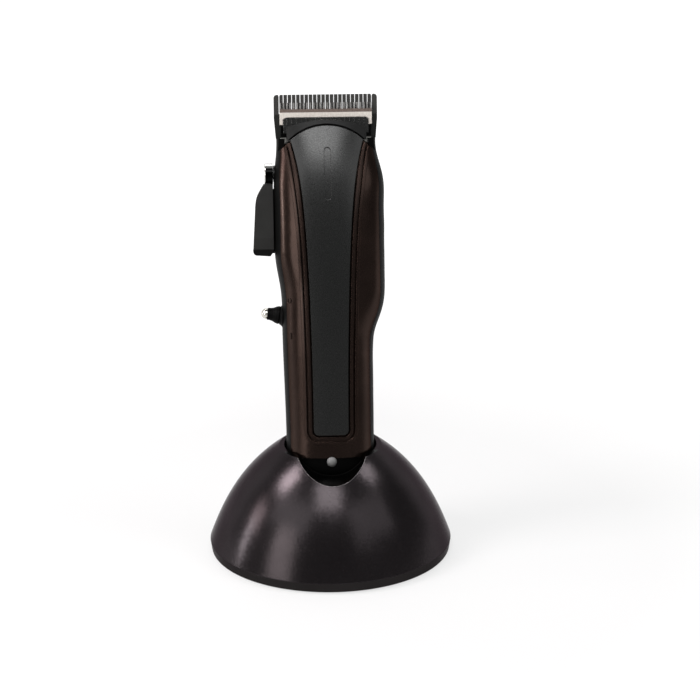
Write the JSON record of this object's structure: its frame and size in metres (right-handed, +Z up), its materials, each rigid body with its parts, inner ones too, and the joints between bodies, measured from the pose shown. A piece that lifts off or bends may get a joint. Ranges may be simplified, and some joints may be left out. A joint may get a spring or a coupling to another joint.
{
  "type": "hair clipper",
  "caption": "Cordless hair clipper with taper lever, toggle switch and cutting head, leaning in a domed charging dock.",
  "frame": {"origin": "middle of the dock's foot pad, on the table", "axes": "+Z up, the clipper's front and lamp towards -Y, its taper lever on -X; the clipper leans back 14 degrees towards +Y"},
  "size_m": [0.1116, 0.1008, 0.2048],
  "materials": {
    "dock_shell": "satin charcoal with fine metallic flake",
    "dock_base_plate": "satin black",
    "dock_grip_pad": "matt",
    "dock_screws": "zinc plated",
    "dock_socket": "matt black",
    "dock_ballast": "plain steel plate",
    "dock_board": "green solder mask",
    "dock_board_chips": "moulded",
    "dock_power_inlet": "moulded",
    "dock_pin_block": "moulded",
    "dock_pin_spring_left": "drawn wire",
    "dock_pin_spring_right": "drawn wire",
    "dock_pin_left": "gold plated",
    "dock_pin_right": "gold plated",
    "rear_housing": "black, satin gloss",
    "front_cover": "dark chocolate metallic gloss",
    "top_plate": "matt black",
    "nose_cap": "satin black",
    "tail_cap": "black",
    "status_lamp_lens": "frosted clear plastic",
    "status_lamp": "moulded lamp on its board",
    "charge_contacts": "gold plated",
    "tail_power_jack": "moulded",
    "switch_marks": "moulded with the cover",
    "housing_screws": "black zinc",
    "battery_cell": "sleeved cell",
    "battery_saddles": "moulded",
    "battery_tabs": "nickel strip",
    "main_board": "green solder mask",
    "main_board_chips": "moulded",
    "switch_block": "moulded",
    "switch_collar": "black",
    "motor_can": "plated",
    "motor_end_cap": "moulded",
    "motor_mount": "glass filled",
    "motor_screws": "zinc plated",
    "head_chassis": "glass filled",
    "blade_bracket": "stamped",
    "bracket_screws": "zinc plated",
    "fixed_blade": "black coated steel",
    "blade_screws": "zinc plated",
    "lever_bush": "turned",
    "toggle_lever": "black",
    "toggle_tip": "polished",
    "motor_shaft": "ground",
    "drive_eccentric": "acetal",
    "eccentric_pin": "ground",
    "cutter_carriage": "stamped",
    "tension_spring": "spring strip",
    "cutter_blade": "ground and polished",
    "cutter_yoke": "acetal",
    "taper_lever": "satin black",
    "lever_hub": "polished",
    "lever_spindle": "turned",
    "lever_cam": "stamped"
  },
  "bodies": {
    "dock": {"dock_shell": "dock_shell", "dock_base_plate": "dock_base_plate", "dock_grip_pad": "dock_grip_pad", "dock_screws": "dock_screws", "dock_socket": "dock_socket", "dock_ballast": "dock_ballast", "dock_board": "dock_board", "dock_board_chips": "dock_board_chips", "dock_power_inlet": "dock_power_inlet", "dock_pin_block": "dock_pin_block", "dock_pin_spring_left": "dock_pin_spring_left", "dock_pin_spring_right": "dock_pin_spring_right"},
    "dock_pin_left": {"dock_pin_left": "dock_pin_left"},
    "dock_pin_right": {"dock_pin_right": "dock_pin_right"},
    "clipper": {"rear_housing": "rear_housing", "front_cover": "front_cover", "top_plate": "top_plate", "nose_cap": "nose_cap", "tail_cap": "tail_cap", "status_lamp_lens": "status_lamp_lens", "status_lamp": "status_lamp", "charge_contacts": "charge_contacts", "tail_power_jack": "tail_power_jack", "switch_marks": "switch_marks", "housing_screws": "housing_screws", "battery_cell": "battery_cell", "battery_saddles": "battery_saddles", "battery_tabs": "battery_tabs", "main_board": "main_board", "main_board_chips": "main_board_chips", "switch_block": "switch_block", "switch_collar": "switch_collar", "motor_can": "motor_can", "motor_end_cap": "motor_end_cap", "motor_mount": "motor_mount", "motor_screws": "motor_screws", "head_chassis": "head_chassis", "blade_bracket": "blade_bracket", "bracket_screws": "bracket_screws", "fixed_blade": "fixed_blade", "blade_screws": "blade_screws", "lever_bush": "lever_bush"},
    "toggle": {"toggle_lever": "toggle_lever", "toggle_tip": "toggle_tip"},
    "motor_rotor": {"motor_shaft": "motor_shaft", "drive_eccentric": "drive_eccentric", "eccentric_pin": "eccentric_pin"},
    "carriage": {"cutter_carriage": "cutter_carriage", "tension_spring": "tension_spring"},
    "cutter": {"cutter_blade": "cutter_blade", "cutter_yoke": "cutter_yoke"},
    "taper_lever": {"taper_lever": "taper_lever", "lever_hub": "lever_hub", "lever_spindle": "lever_spindle", "lever_cam": "lever_cam"}
  },
  "joints": [
    {"name": "lift_out", "type": "slide", "parent": "dock", "child": "clipper", "axis": [0, 0.2419, 0.9703], "range_m": [0, 0.06]},
    {"name": "taper_lever_turn", "type": "hinge", "parent": "clipper", "child": "taper_lever", "pos_m": [-0.026, 0.0313, 0.17069], "axis": [-1, 0, 0], "range_deg": [0, 36]},
    {"name": "carriage_slide", "type": "slide", "parent": "clipper", "child": "carriage", "axis": [0, 0.2419, 0.9703], "range_m": [0, 0.0026]},
    {"name": "cutter_stroke", "type": "slide", "parent": "carriage", "child": "cutter", "axis": [1, 0, 0], "range_m": [-0.0012, 0.0012]},
    {"name": "motor_spin", "type": "hinge", "parent": "clipper", "child": "motor_rotor", "pos_m": [0, 0.02443, 0.13901], "axis": [0, 0.2419, 0.9703], "continuous": true},
    {"name": "toggle_switch", "type": "hinge", "parent": "clipper", "child": "toggle", "pos_m": [-0.0189, 0.01473, 0.10835], "axis": [0, -0.9703, 0.2419], "range_deg": [0, 16]},
    {"name": "dock_pin_left_press", "type": "slide", "parent": "dock", "child": "dock_pin_left", "axis": [0, 0.2419, 0.9703], "range_m": [-0.0012, 0], "stiffness_N_per_m": 150, "springref_m": 0.0005, "deforming": ["dock_pin_spring_left"]},
    {"name": "dock_pin_right_press", "type": "slide", "parent": "dock", "child": "dock_pin_right", "axis": [0, 0.2419, 0.9703], "range_m": [-0.0012, 0], "stiffness_N_per_m": 150, "springref_m": 0.0005, "deforming": ["dock_pin_spring_right"]}
  ],
  "couplings": [
    {"joint": "taper_lever_turn", "follows": "carriage_slide", "rad_per_m": 241.66}
  ]
}
